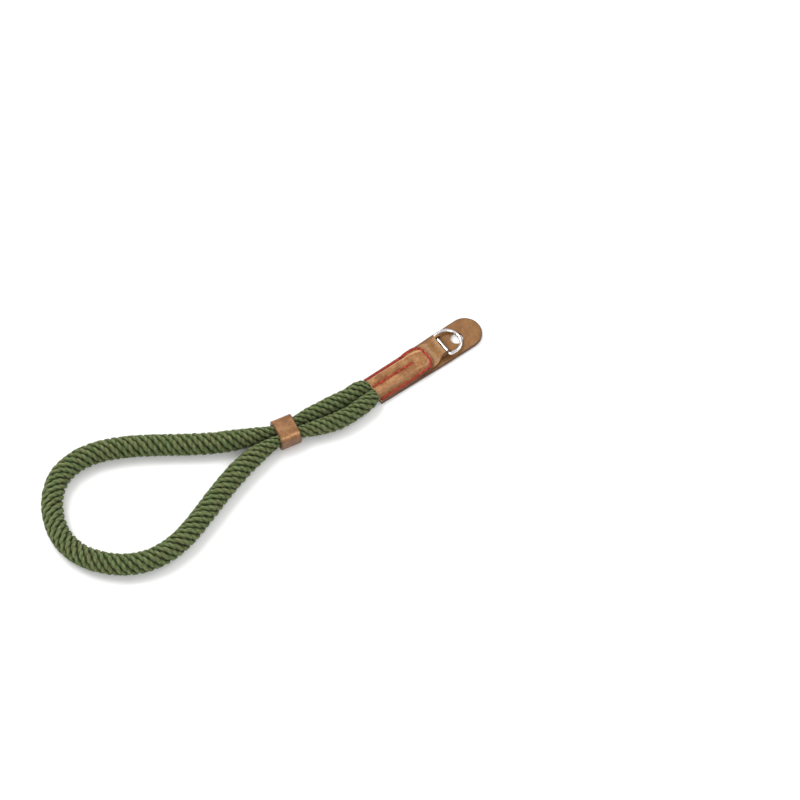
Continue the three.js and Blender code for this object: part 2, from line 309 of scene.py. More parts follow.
def mixed(tree, factor, first, second):
    node = add_node(tree, "ShaderNodeMix", data_type="RGBA")
    for key, value in (("Factor_Float", factor), ("A_Color", first), ("B_Color", second)):
        socket = next(s for s in node.inputs if s.identifier == key)
        if isinstance(value, bpy.types.NodeSocket):
            tree.links.new(value, socket)
        else:
            socket.default_value = (*value, 1)
    return next(s for s in node.outputs if s.identifier == "Result_Color")


def maths(tree, operation, *values):
    node = add_node(tree, "ShaderNodeMath", dict(enumerate(values)), operation=operation)
    return node.outputs[0]


def weighted(tree, terms):
    """The sum of (value, weight) terms."""
    parts = [maths(tree, "MULTIPLY", value, weight) for value, weight in terms]
    total = parts[0]
    for part in parts[1:]:
        total = maths(tree, "ADD", total, part)
    return total


def place(tree):
    """The surface's own place in metres."""
    return tree.nodes.new("ShaderNodeTexCoord").outputs["Object"]


def noise(tree, scale, detail=3.0, roughness=0.55, vector=None):
    """Noise over the surface's own place, or over another vector."""
    inputs = {
        "Vector": place(tree) if vector is None else vector,
        "Scale": scale,
        "Detail": detail,
        "Roughness": roughness,
    }
    return add_node(tree, "ShaderNodeTexNoise", inputs).outputs["Fac"]


def stretched(tree, vector, scale):
    return add_node(
        tree, "ShaderNodeMapping", {"Vector": vector, "Scale": scale}
    ).outputs["Vector"]


def attribute(tree, name):
    return add_node(tree, "ShaderNodeAttribute", attribute_name=name).outputs["Fac"]


def spread(tree, value, least, most):
    """A value of 0 to 1 as one of least to most."""
    return add_node(
        tree, "ShaderNodeMapRange", {"Value": value, "To Min": least, "To Max": most}
    ).outputs["Result"]


def bump(tree, height, strength, depth_mm, under=None):
    inputs = {"Height": height, "Strength": strength, "Distance": depth_mm * MM}
    if under is not None:
        inputs["Normal"] = under
    return add_node(tree, "ShaderNodeBump", inputs).outputs["Normal"]


# The rope's colours from dark to light: the darkest are painted shade deep between the plies, the
# lightest painted light on their outsides.
ROPE_GREENS = [
    (0.0, (0.009, 0.014, 0.001)),
    (0.3, (0.034, 0.047, 0.010)),
    (0.6, (0.086, 0.112, 0.044)),
    (1.0, (0.200, 0.235, 0.115)),
]
# What the green is multiplied by from place to place: browner to greener.
ROPE_FADING = [(0.36, (1.05, 0.95, 0.88)), (0.5, (0.98, 0.97, 0.92)), (0.64, (0.92, 1.0, 0.88))]
ROPE_DARKER = 0.63  # taken from all that lightens it
YARNS_PER_PLY = 5
YARN_TWIST_MM = 5.0
YARN_WANDER = 3.0
FIBRE_STRETCH = (0.8, 26, 1)


def rope_material():
    """Matte cotton. Each ply is a bundle of yarns that wind slowly round it. The crown value paints
    shade into the colour: dark deep between the plies, light on their outsides.
    """
    material, tree, shader = new_material("rope_cotton")
    strand = add_node(tree, "ShaderNodeUVMap", uv_map="Strand").outputs["UV"]
    split = add_node(tree, "ShaderNodeSeparateXYZ", {"Vector": strand})
    round_it = maths(tree, "MULTIPLY", split.outputs["Y"], 2 * math.pi * YARNS_PER_PLY)
    along_it = maths(tree, "MULTIPLY", split.outputs["X"], 2 * math.pi / YARN_TWIST_MM)
    wander = maths(tree, "MULTIPLY", noise(tree, scale=500), YARN_WANDER)
    turns = maths(tree, "ADD", maths(tree, "ADD", round_it, along_it), wander)
    yarn = maths(tree, "MULTIPLY_ADD", maths(tree, "SINE", turns), 0.5, 0.5)
    fibre = noise(tree, scale=1.6, detail=4, vector=stretched(tree, strand, FIBRE_STRETCH))
    patches = noise(tree, scale=420, roughness=0.65)
    specks = noise(tree, scale=1500, roughness=0.7)
    # crown: 0 deep between the plies, 1 on the rope's outside; its weight paints shade into the
    # crevices.
    crown = attribute(tree, "crown")
    lighter = weighted(
        tree, [(crown, 0.62), (yarn, 0.14), (fibre, 0.34), (patches, 0.3), (specks, 0.75)]
    )
    green = ramp(tree, maths(tree, "SUBTRACT", lighter, ROPE_DARKER), ROPE_GREENS)
    faded = ramp(tree, noise(tree, scale=260, detail=2), ROPE_FADING)
    tint = add_node(tree, "ShaderNodeVectorMath", {0: green, 1: faded}, operation="MULTIPLY")
    tree.links.new(tint.outputs["Vector"], shader.inputs["Base Color"])
    normal = bump(tree, yarn, strength=0.6, depth_mm=0.16)
    normal = bump(tree, fibre, strength=0.8, depth_mm=0.22, under=normal)
    lumps = noise(tree, scale=1100, detail=2)
    normal = bump(tree, lumps, strength=0.7, depth_mm=0.35, under=normal)
    tree.links.new(normal, shader.inputs["Normal"])
    shader.inputs["Roughness"].default_value = 0.95
    shader.inputs["Specular IOR Level"].default_value = 0.08
    shader.inputs["Sheen Weight"].default_value = 0.1
    shader.inputs["Sheen Roughness"].default_value = 0.6
    shader.inputs["Sheen Tint"].default_value = (0.75, 0.82, 0.6, 1)
    return material


# Each leather's dark, middle and light colour and its roughness.
LEATHERS = {
    "end_leather": ((0.146, 0.048, 0.012), (0.262, 0.112, 0.035), (0.430, 0.222, 0.084), 0.42),
    "flap_leather": ((0.132, 0.052, 0.012), (0.202, 0.088, 0.022), (0.268, 0.130, 0.038), 0.48),
    # The tab is the flap's leather, painted lighter to make up for the shade it lies in.
    "tab_leather_painted_light": ((0.180, 0.082, 0.024), (0.285, 0.140, 0.046), (0.370, 0.200, 0.078), 0.45),
    "keeper_leather": ((0.120, 0.048, 0.014), (0.225, 0.100, 0.032), (0.335, 0.165, 0.060), 0.36),
}
LEATHER_STOPS = (0.35, 0.5, 0.66)
LEATHER_SMOOTHER = 0.08
LEATHER_ROUGHER = 0.12
# How patchy the painted highlight along a crest is.
HIGHLIGHT_PATCHINESS = 1.6
# A painted highlight, where a shoulder of the leather would catch the key light.
PAINTED_HIGHLIGHT_LEATHER = (0.66, 0.36, 0.17)
CUT_LEATHER = (0.66, 0.45, 0.26)
# Burnished edges, and the painted shade on the keeper's near side.
BURNISH_AND_SHADE_LEATHER = (0.085, 0.036, 0.016)
HOLE_LEATHER = (0.06, 0.012, 0.006)


def leather_material(name, dark, middle, light, roughness):
    """Smooth leather: mottled colour, fine grain and pores. The vertex values crest, edge, cut and
    hole say where it gets a painted highlight, where it is burnished dark (and, on the keeper's
    near side, painted shade), cut raw and pierced by stitches."""
    material, tree, shader = new_material(name)
    clouds = noise(tree, scale=190)
    mottle = noise(tree, scale=900, detail=4, roughness=0.65)
    grain = noise(tree, scale=3200)
    pores = add_node(
        tree, "ShaderNodeTexVoronoi", {"Vector": place(tree), "Scale": 1700, "Randomness": 0.9}
    ).outputs["Distance"]
    shade = weighted(tree, [(clouds, 0.45), (mottle, 0.42), (grain, 0.13)])
    colour = ramp(tree, shade, list(zip(LEATHER_STOPS, (dark, middle, light))))
    # Painted highlight where the crest value is high, broken up by the mottle.
    patchy = maths(tree, "MULTIPLY", mottle, HIGHLIGHT_PATCHINESS)
    crest = maths(tree, "MULTIPLY", attribute(tree, "crest"), patchy)
    colour = mixed(tree, crest, colour, PAINTED_HIGHLIGHT_LEATHER)
    # Burnished dark edges, and painted shade where the edge value holds it.
    colour = mixed(tree, attribute(tree, "edge"), colour, BURNISH_AND_SHADE_LEATHER)
    raw = mixed(tree, mottle, CUT_LEATHER, middle)
    colour = mixed(tree, attribute(tree, "cut"), colour, raw)
    colour = mixed(tree, attribute(tree, "hole"), colour, HOLE_LEATHER)
    tree.links.new(colour, shader.inputs["Base Color"])
    rough = spread(tree, mottle, roughness - LEATHER_SMOOTHER, roughness + LEATHER_ROUGHER)
    tree.links.new(rough, shader.inputs["Roughness"])
    normal = bump(tree, pores, strength=0.35, depth_mm=0.05)
    normal = bump(tree, grain, strength=0.35, depth_mm=0.05, under=normal)
    normal = bump(tree, mottle, strength=0.4, depth_mm=0.12, under=normal)
    tree.links.new(normal, shader.inputs["Normal"])
    shader.inputs["Specular IOR Level"].default_value = 0.4
    return material


THREAD_REDS = [
    (0.36, (0.13, 0.008, 0.004)),
    (0.52, (0.37, 0.020, 0.011)),
    (0.68, (0.60, 0.08, 0.05)),
]


def thread_material():
    """Waxed red thread."""
    material, tree, shader = new_material("stitch_thread")
    fuzz = noise(tree, scale=4200)
    patches = noise(tree, scale=600, detail=2)
    shade = weighted(tree, [(fuzz, 0.5), (patches, 0.5)])
    tree.links.new(ramp(tree, shade, THREAD_REDS), shader.inputs["Base Color"])
    normal = bump(tree, fuzz, strength=0.5, depth_mm=0.06)
    tree.links.new(normal, shader.inputs["Normal"])
    shader.inputs["Roughness"].default_value = 0.6
    return material


MARK_STRETCH = (1, 0.25, 1)
CHROME_TONES = [(0.3, (0.80, 0.80, 0.81)), (0.7, (0.92, 0.92, 0.93))]


def chrome_material():
    """Polished wire with faint handling marks."""
    material, tree, shader = new_material("ring_metal")
    marks = noise(tree, scale=2600, detail=4, vector=stretched(tree, place(tree), MARK_STRETCH))
    tree.links.new(spread(tree, marks, 0.05, 0.2), shader.inputs["Roughness"])
    tree.links.new(ramp(tree, marks, CHROME_TONES), shader.inputs["Base Color"])
    normal = bump(tree, marks, strength=0.08, depth_mm=0.02)
    tree.links.new(normal, shader.inputs["Normal"])
    shader.inputs["Metallic"].default_value = 1.0
    return material


leather = {name: leather_material(name, *look) for name, look in LEATHERS.items()}
thread = thread_material()
chrome = chrome_material()


# ---- rope ----

# The rope's centreline with its width and height, in metres, from one hidden end round the loop
# to the other: (x, y, z, width, height).
ROUTE = [
    (-0.016, 0.00175, 0.003, 0.0029, 0.0021),
    (-0.03, 0.00175, 0.00375, 0.0026, 0.0036),
    (-0.0398, 0.0017, 0.00385, 0.0025, 0.0038),
    (-0.044, 0.0025, 0.0046, 0.0057, 0.0071),
    (-0.051, 0.00295, 0.0049, 0.0077, 0.0094),
    (-0.061, 0.0039, 0.0052, 0.0081, 0.0102),
    (-0.072, 0.00545, 0.0054, 0.0068, 0.0094),
    (-0.0795, 0.0064, 0.0054, 0.0046, 0.0076),
    (-0.0891, 0.0082, 0.0054, 0.0046, 0.0076),
    (-0.097, 0.0112, 0.00525, 0.0075, 0.0099),
    (-0.1065, 0.0154, 0.0052, 0.01, 0.0103),
    (-0.117, 0.0211, 0.0052, 0.0103, 0.0103),
    (-0.129, 0.0292, 0.0052, 0.0103, 0.0103),
    (-0.142, 0.0381, 0.0052, 0.0103, 0.0103),
    (-0.1555, 0.0454, 0.0052, 0.0103, 0.0103),
    (-0.1685, 0.0487, 0.0052, 0.0103, 0.0103),
    (-0.1805, 0.0469, 0.0052, 0.0103, 0.0103),
    (-0.1895, 0.0404, 0.0052, 0.0103, 0.0103),
    (-0.1958, 0.0308, 0.0052, 0.0103, 0.0103),
    (-0.1988, 0.0198, 0.0052, 0.0103, 0.0103),
    (-0.1972, 0.0088, 0.0052, 0.0103, 0.0103),
    (-0.191, -0.0013, 0.0052, 0.0103, 0.0103),
    (-0.1815, -0.0093, 0.0052, 0.0103, 0.0103),
    (-0.1695, -0.0133, 0.0052, 0.0103, 0.0103),
    (-0.1555, -0.0126, 0.0052, 0.0103, 0.0103),
    (-0.1415, -0.0083, 0.0052, 0.0103, 0.0103),
    (-0.127, -0.0031, 0.0052, 0.0103, 0.0103),
    (-0.114, 0.0009, 0.0052, 0.0103, 0.0103),
    (-0.104, 0.0028, 0.0052, 0.0093, 0.0103),
    (-0.096, 0.0031, 0.0053, 0.0066, 0.0096),
    (-0.0901, 0.0029, 0.0054, 0.0046, 0.0076),
    (-0.0805, 0.00115, 0.0054, 0.0046, 0.0076),
    (-0.0725, -0.00185, 0.0054, 0.0068, 0.0094),
    (-0.062, -0.0047, 0.0052, 0.0081, 0.0102),
    (-0.051, -0.00495, 0.0049, 0.0077, 0.0094),
    (-0.044, -0.0035, 0.0046, 0.0057, 0.0071),
    (-0.0398, -0.00165, 0.00385, 0.0024, 0.0038),
    (-0.03, -0.00175, 0.00375, 0.0026, 0.0036),
    (-0.016, -0.00175, 0.003, 0.0029, 0.0021),
]
ROUTE_STEPS = 12  # from each row to the next
ROPE_THICK = 10.3

# How the rope fills the mouth of the leather end: (x, outward shift, drop, width, height), in
# metres.
MOUTH_FILL = [
    (-0.016, 0, 0, 0.0029, 0.0021),
    (-0.03, 0.0006, 0.0004, 0.0042, 0.0032),
    (-0.0398, 0.0009, 0.0003, 0.0056, 0.0036),
    (-0.0422, 0.0009, 0.0002, 0.0072, 0.0062),
    (-0.0455, 0.0006, 0, 0.008, 0.0084),
    (-0.051, 0, 0, 0.008, 0.0096),
]

# The rope's lay: strands wound right-handed round a core, each of plies wound the same way round
# one another.
STRANDS = 6
LAY_PITCH = 21.6
STRAND_CENTRE = 3.7  # from the rope's middle
PLIES = 2
PLY_PITCH = 6.6
PLY_ACROSS = 0.42
PLY_OUTWARD = 0.64
PLY_RADIUS = 1.05
PLY_SIDES = 6
ROPE_STEP = 0.36
WORN_RADIUS = 5.0
WORN_SHARE = 0.4  # how much of a strand's rise is left beyond that
CORE_RADIUS = 3.2
CORE_SIDES = 12
CORE_STEP = 3
# Painted shade between the plies: deepest inside the first reach from the rope's middle, gone
# beyond the second.
CREVICE_SHADE_FROM, CREVICE_SHADE_TO = 3.7, 5.15

# How uneven the lay is: how much, and the lengths of its waves.
ANGLE_UNEVEN = 0.02
CENTRE_UNEVEN = 0.06
STRAND_SPANS = (31, 11)
TWIST_UNEVEN = 0.3
TWIST_SPANS = (17, 7)
PLUMP_UNEVEN = 0.045
PLUMP_SPANS = (5.3, 1.9)
PHASES = 7  # of a ply: two for its strand, three for its twist and two of its own
ROPE_SEED = 11


def centripetal(points, per_span):
    """A Catmull-Rom curve through points, with per_span places from each point to the next, and
    the place of each counted in points."""
    ends = [2 * points[0] - points[1], 2 * points[-1] - points[-2]]
    padded = np.concatenate([ends[:1], points, ends[1:]])
    line, places = [], []
    for i in range(len(points) - 1):
        p = padded[i : i + 4]
        t = np.concatenate([[0], np.cumsum(np.sqrt(np.linalg.norm(np.diff(p, axis=0), axis=1)))])
        share = np.arange(per_span) / per_span
        if i == len(points) - 2:
            share = np.append(share, 1)
        at = (t[1] + (t[2] - t[1]) * share)[:, None]
        level = p
        for step in (1, 2, 3):
            level = [
                level[k] + (level[k + 1] - level[k]) * (at - t[k]) / (t[k + step] - t[k])
                for k in range(len(level) - 1)
            ]
        line.append(level[0])
        places.append(i + share)
    return np.concatenate(line), np.concatenate(places)


class Route:
    """The rope's centreline with its frame and section at each distance along it, in mm."""

    def __init__(self):
        rows = np.array(ROUTE) / MM
        self.line, places = centripetal(rows[:, :3], ROUTE_STEPS)
        self.distance = run_length(self.line)
        along = unit(np.gradient(self.line, axis=0))
        self.side = unit(np.cross(along, [0, 0, 1]))
        self.above = np.cross(self.side, along)
        section = read_at(rows[:, 3:], np.arange(len(rows)), places)
        self.shift = np.zeros((len(self.line), 2))
        fill_x, outward, drop, width, height = (np.array(MOUTH_FILL)[::-1] / MM).T
        near = self.line[:, 0] > fill_x[0]
        x = self.line[near, 0]
        section[near, 0] = np.interp(x, fill_x, width)
        section[near, 1] = np.interp(x, fill_x, height)
        away = np.sign(self.line[near, 1] * self.side[near, 1])
        self.shift[near, 0] = away * np.interp(x, fill_x, outward)
        self.shift[near, 1] = -np.interp(x, fill_x, drop)
        self.scale = section / ROPE_THICK

    def at(self, table, distance):
        return read_at(table, self.distance, distance)

    def bent(self, points):
        """Points of a straight rope along X, laid along the route."""
        distance = points[..., 0]
        section = points[..., 1:] * self.at(self.scale, distance) + self.at(self.shift, distance)
        across = self.at(self.side, distance) * section[..., :1]
        upward = self.at(self.above, distance) * section[..., 1:]
        return self.at(self.line, distance) + across + upward


def strand_uv(travelled, sides):
    """For each corner of a tube's faces, how far along it lies and its share of the way round."""
    uv = []
    for a, b in zip(travelled[:-1], travelled[1:]):
        for j in range(sides):
            low, high = j / sides, (j + 1) / sides
            uv += [(a, low), (b, low), (b, high), (a, high)]
    caps = [(0, 0)] * sides * 2
    return uv + caps


def wave(distance, spans, phases):
    """A slow irregular wave, about -2 to 2."""
    return sum(np.sin(2 * np.pi * distance / s + p) for s, p in zip(spans, phases))


def ply_rings(distance, strand, ply, phases):
    """The rings of one ply in a straight rope along X, and how far along the ply each lies."""
    uneven = wave(distance, STRAND_SPANS, phases[:2])
    angle = -2 * np.pi * (distance / LAY_PITCH + strand / STRANDS) + ANGLE_UNEVEN * uneven
    radius = STRAND_CENTRE + CENTRE_UNEVEN * uneven
    line = np.stack([distance, radius * np.cos(angle), radius * np.sin(angle)], axis=1)
    along = unit(np.gradient(line, axis=0))
    outward = np.stack([np.zeros_like(angle), np.cos(angle), np.sin(angle)], axis=1)
    across = np.cross(along, outward)
    travelled = run_length(line)
    turn = 2 * np.pi * (travelled / PLY_PITCH + ply / PLIES)
    turn = turn + phases[2] + TWIST_UNEVEN * wave(distance, TWIST_SPANS, phases[3:5])
    line = line + across * (PLY_ACROSS * np.cos(turn))[:, None]
    line = line + outward * (PLY_OUTWARD * np.sin(turn))[:, None]
    along = unit(np.gradient(line, axis=0))
    across = unit(np.cross(along, outward))
    outward = np.cross(across, along)
    plump = PLY_RADIUS * (1 + PLUMP_UNEVEN * wave(distance, PLUMP_SPANS, phases[5:7]))
    rings = line[:, None] + plump[:, None, None] * hoops(across, outward, circle(PLY_SIDES))
    reach = np.hypot(rings[..., 1], rings[..., 2])
    worn = WORN_RADIUS + WORN_SHARE * (reach - WORN_RADIUS)
    rings[..., 1:] *= (np.where(reach > WORN_RADIUS, worn, reach) / reach)[..., None]
    return rings, travelled


def core_rings(distance):
    """The same for the core."""
    face = circle(CORE_SIDES)
    rings = np.zeros((len(distance), CORE_SIDES, 3))
    rings[..., 0] = distance[:, None]
    rings[..., 1] = CORE_RADIUS * np.cos(face)
    rings[..., 2] = CORE_RADIUS * np.sin(face)
    return rings, distance


def add_rope():
    route = Route()
    chance = np.random.default_rng(ROPE_SEED)
    distance = np.arange(0, route.distance[-1], ROPE_STEP)
    tubes = []
    for strand in range(STRANDS):
        phases = chance.uniform(0, 2 * np.pi, PHASES)
        for ply in range(PLIES):
            phases[5:] = chance.uniform(0, 2 * np.pi, 2)
            tubes.append(ply_rings(distance, strand, ply, phases))
    tubes.append(core_rings(np.arange(0, route.distance[-1], CORE_STEP)))
    meshes, uv, crown = [], [], []
    for rings, travelled in tubes:
        count, sides = rings.shape[:2]
        reach = np.hypot(rings[..., 1], rings[..., 2])
        # Painted shade: the crown value is 0 deep between the plies and 1 on the rope's outside.
        crown.append(smoothstep(reach, CREVICE_SHADE_FROM, CREVICE_SHADE_TO).ravel())
        meshes.append((route.bent(rings).reshape(-1, 3), tube_faces(count, sides)))
        uv += strand_uv(travelled, sides)
    points, faces = joined(meshes)
    rope = add_mesh(
        "braided_rope", points, faces, rope_material(), uv, {"crown": np.concatenate(crown)}
    )
    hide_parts("rope")
    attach(rope, "strap")


add_rope()


# ---- leather end: what its pieces share ----

flap_low, flap_high = frame_box("protector_flap")
cover_low, cover_high = frame_box("sleeve_cover")
tab_low, tab_high = frame_box("ring_tab")

EDGE_ROUND = 0.3
FLAP_TOP = flap_high[2]
SEAM = 0.02  # between two sewn leathers
TAB_THICK = 1.0
BAR_Z = 3.95
RING_WIRE = 0.75  # its radius
RIM_DARK = {"cover": 0.8, "flap": 0.85, "tab": 0.75, "keeper": 0.45}


def crease(points, size, depth):
    """Slow, shallow unevenness of leather, whose waves don't repeat together."""
    x, y = points[:, 0] / size, points[:, 1] / size
    rise = np.sin(1.3 * x + 0.7 * np.sin(2.1 * y)) * np.cos(1.7 * y + 0.6 * np.sin(1.1 * x))
    return depth * rise


def edge_wear(gap, width, power=1.0, most=1.0):
    """How dark leather is burnished at a gap from its edge."""
    return np.clip(1 - gap / width, 0, 1) ** power * most


# ---- cover ----

MOUTH_X = cover_low[0]
COVER_END_X = cover_high[0]
COVER_HALF = cover_high[1]
COVER_THICK = 1.1
COVER_WALL = 1.0  # from the dome's outside to its inside, in plan
COVER_ROUND_X = COVER_END_X - 5.6  # where the sides start to turn in
COVER_END_HALF = 2.6
COVER_MARGIN = 1.35
COVER_SHOULDER = 2.1
COVER_SHOULDER_SHARE = 0.6
COVER_STEP = (-19.1, -16.2)  # where the cover climbs onto the tab
COVER_ROWS = 104
COVER_END_ROWS = 26
COVER_END_TURN = 86
COVER_COLUMNS = 65
# The crown's height along the cover: (x, height).
COVER_CROWN = np.array(
    [(MOUTH_X, 6.2), (-30, 6.0), (-21, 5.6), (-15, 5.0), (-12, 4.2), (COVER_END_X, 3.8)]
)
GROOVE_DEPTH = 0.95
GROOVE_HALF = 1.1
GROOVE_FULL_RISE = 3.0

STITCH_PITCH = 3.2
STITCH_INSET = 0.95
STITCH_START_X = MOUTH_X + 0.7
STITCH_END_X = COVER_END_X - 1.2
STITCH_CORNER = 3.9
CENTRE_STITCH_END_X = -16.6
STITCH_LINE_STEP = 0.05
# Depth and width of what a line of stitches and each of its holes press into the cover.
LINE_DENT = (0.22, 0.5)
HOLE_DENT = (0.4, 0.36)

HOLE_STAIN = 1.25
HOLE_STAIN_WIDTH = 0.42
# A painted highlight along the dome's shoulders, stronger on the far side, which faces the key
# light.
HIGHLIGHT_OUT = 0.5  # from where the dome starts to fall
HIGHLIGHT_WIDTH = 0.45
HIGHLIGHT_FAR_SIDE = 0.9
HIGHLIGHT_NEAR_SIDE = 0.35
HAIR = 0.01


def cover_edge(x):
    """Half the cover's width at x."""
    run = np.clip((x - COVER_ROUND_X) / (COVER_END_X - COVER_ROUND_X), 0, 1)
    return COVER_END_HALF + (COVER_HALF - COVER_END_HALF) * np.sqrt(1 - run * run)


def cover_crest(x):
    """Where the cover's dome starts to fall towards its sides."""
    foot = cover_edge(x) - COVER_MARGIN
    return foot - np.minimum(COVER_SHOULDER, COVER_SHOULDER_SHARE * foot)


def cover_shape(x, y):
    """The cover's upper and lower height without stitches."""
    step = smoothstep(x, *COVER_STEP)
    seat = FLAP_TOP + SEAM + step * (TAB_THICK + SEAM)
    rise = np.interp(x, COVER_CROWN[:, 0], COVER_CROWN[:, 1]) - seat - COVER_THICK
    rise = np.maximum(rise, 0)
    crest, foot = cover_crest(x), cover_edge(x) - COVER_MARGIN
    depth = GROOVE_DEPTH * np.minimum(1, rise / GROOVE_FULL_RISE)
    crown = rise - depth * bell(y, GROOVE_HALF)
    upper = seat + COVER_THICK + crown * (1 - smoothstep(np.abs(y), crest, foot))
    lower = seat + crown * (1 - smoothstep(np.abs(y) + COVER_WALL, crest, foot))
    return upper, lower


def stitch_lines():
    """The U round the cover's margin and the straight line down its middle, in plan."""
    half = COVER_HALF - STITCH_INSET
    corner_x = STITCH_END_X - STITCH_CORNER
    legs = np.arange(STITCH_START_X, corner_x, STITCH_LINE_STEP)
    turn = np.radians(np.arange(91))
    corner = np.stack(
        [
            corner_x + STITCH_CORNER * np.sin(turn),
            half - STITCH_CORNER + STITCH_CORNER * np.cos(turn),
        ],
        axis=1,
    )
    end = np.arange(corner[-1, 1] - STITCH_LINE_STEP, 0, -STITCH_LINE_STEP)
    far = np.concatenate(
        [
            np.stack([legs, np.full_like(legs, half)], axis=1),
            corner,
            np.stack([np.full_like(end, STITCH_END_X), end], axis=1),
        ]
    )
    near = far[::-1] * [1, -1]
    middle_x = np.arange(CENTRE_STITCH_END_X, STITCH_START_X, -STITCH_LINE_STEP)
    return [np.concatenate([far, near]), np.stack([middle_x, np.zeros_like(middle_x)], axis=1)]


def spaced(line, pitch):
    """How far along a line its points lie, and places about pitch apart from end to end."""
    run = run_length(line)
    count = max(1, round(run[-1] / pitch))
    return run, np.linspace(0, run[-1], count + 1)


stitching = stitch_lines()
stitch_spans = [spaced(line, STITCH_PITCH) for line in stitching]
stitch_holes = np.concatenate(
    [read_at(line, run, holes) for line, (run, holes) in zip(stitching, stitch_spans)]
)
# Fewer points are enough to tell how near a stitch line is.
stitch_points = np.concatenate([line[::4] for line in stitching])


def nearest(points, others):
    """The distance in plan from each point to the nearest of the others."""
    gap = points[:, None, :2] - others[None, :, :2]
    return np.sqrt((gap**2).sum(2).min(1))


def stitch_dent(points):
    """How deep the stitches pull the leather in at each point."""
    (line_depth, line_width), (hole_depth, hole_width) = LINE_DENT, HOLE_DENT
    line = line_depth * bell(nearest(points, stitch_points), line_width)
    return line + hole_depth * bell(nearest(points, stitch_holes), hole_width)


def cover_upper_at(x, y):
    flat = np.stack([np.ravel(x), np.ravel(y)], axis=1)
    upper = cover_shape(flat[:, 0], flat[:, 1])[0]
    return (upper - stitch_dent(flat) + crease(flat, size=2.3, depth=0.05)).reshape(np.shape(x))


def add_cover():
    straight = np.linspace(MOUTH_X + EDGE_ROUND, COVER_ROUND_X, COVER_ROWS)
    turn = np.radians(np.linspace(0, COVER_END_TURN, COVER_END_ROWS))[1:]
    inset_reach = COVER_END_X - EDGE_ROUND - COVER_ROUND_X
    full_reach = COVER_END_X - COVER_ROUND_X
    rows = np.concatenate([straight, COVER_ROUND_X + inset_reach * np.sin(turn)])
    edge = cover_edge(np.concatenate([straight, COVER_ROUND_X + full_reach * np.sin(turn)]))
    x, y = plan_grid(rows, edge - EDGE_ROUND, COVER_COLUMNS)
    upper = np.stack([x, y, cover_upper_at(x, y)], axis=2)
    lower = np.stack([x, y, cover_shape(x, y)[1]], axis=2)
    points, faces, on_rim = rimmed_sheet(upper, lower, EDGE_ROUND)
    plan = points[:, :2]
    at_mouth = points[:, 0] < MOUTH_X + EDGE_ROUND + HAIR
    gap = np.minimum(cover_edge(points[:, 0]) - np.abs(points[:, 1]), COVER_END_X - points[:, 0])
    is_top = np.arange(len(points)) < x.size
    worn = edge_wear(gap, width=0.6, power=1.5, most=0.8) * is_top
    stain = HOLE_STAIN * bell(nearest(plan, stitch_holes), HOLE_STAIN_WIDTH)
    # Painted highlight just outside where the dome starts to fall.
    crest = bell(np.abs(plan[:, 1]) - cover_crest(plan[:, 0]) - HIGHLIGHT_OUT, HIGHLIGHT_WIDTH)
    values = {
        "edge": np.where(at_mouth, 0, np.maximum(worn, RIM_DARK["cover"] * on_rim)),
        "cut": (at_mouth & (on_rim > 0)).astype(float),
        "hole": np.clip(stain, 0, 1) * is_top,
        "crest": crest * np.where(plan[:, 1] > 0, HIGHLIGHT_FAR_SIDE, HIGHLIGHT_NEAR_SIDE) * is_top,
    }
    cover = add_mesh("stitched_cover", points, faces, leather["end_leather"], values=values)
    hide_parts("sleeve_cover")
    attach(cover, "strap")


THREAD_PLY_RADIUS = 0.36
THREAD_PLY_OFFSET = 0.29
THREAD_TURNS = 1.6
THREAD_PROUD = 0.16
THREAD_DIVE = 0.55
THREAD_SIDES = 7
STITCH_POINTS = 18


def stitch_tubes():
    """Each stitch is two plies wound round each other, which dive into the holes at both ends."""
    share = np.linspace(0, 1, STITCH_POINTS)
    dive = THREAD_DIVE * (1 - np.sin(np.pi * share) ** 0.5)
    parts = []
    for line, (run, holes) in zip(stitching, stitch_spans):
        for begin, finish in zip(holes[:-1], holes[1:]):
            plan = read_at(line, run, begin + (finish - begin) * share)
            height = cover_upper_at(plan[:, 0], plan[:, 1]) + (THREAD_PROUD - dive)
            centre = np.column_stack([plan, height])
            along = unit(np.gradient(centre, axis=0))
            side = unit(np.cross(along, [0, 0, 1]))
            above = np.cross(side, along)
            for ply in (0, np.pi):
                turn = 2 * np.pi * THREAD_TURNS * share + ply
                offset = side * np.cos(turn)[:, None] + above * np.sin(turn)[:, None]
                ply_line = centre + THREAD_PLY_OFFSET * offset
                parts.append(tube(ply_line, THREAD_PLY_RADIUS, THREAD_SIDES))
    return parts


def add_stitches():
    points, faces = joined(stitch_tubes())
    stitches = add_mesh("cover_stitches", points, faces, thread)
    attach(stitches, "strap")


# ---- flap ----

FLAP_BACK_HALF = 7.1
FLAP_HALF = flap_high[1]
FLAP_WIDE_X = -2.0
FLAP_TIP_CENTRE_X = flap_high[0] - FLAP_HALF
FLAP_ROWS = 94
FLAP_WIDE_ROWS = 38
FLAP_TIP_ROWS = 30
FLAP_TIP_TURN = 84
FLAP_COLUMNS = 41
FLAP_CREASE = 0.05
LUG_HOLE_X = 8.3
LUG_HOLE_RADIUS = 3.0
LUG_HOLE_SIDES = 48
CUT_PAST = 1.0
UNDER_GROOVE = 0.42
UNDER_GROOVE_HALF = 0.45


def flap_side(x):
    """Half the flap's width at x, before its tip is rounded."""
    return np.interp(x, [flap_low[0], FLAP_WIDE_X], [FLAP_BACK_HALF, FLAP_HALF])


def flap_under_at(x, y):
    """The flap's underside, with a shallow groove under each line of stitches."""
    flat = np.stack([np.ravel(x), np.ravel(y)], axis=1)
    groove = bell(nearest(flat, stitch_points), UNDER_GROOVE_HALF, power=4)
    return (UNDER_GROOVE * groove).reshape(np.shape(x))


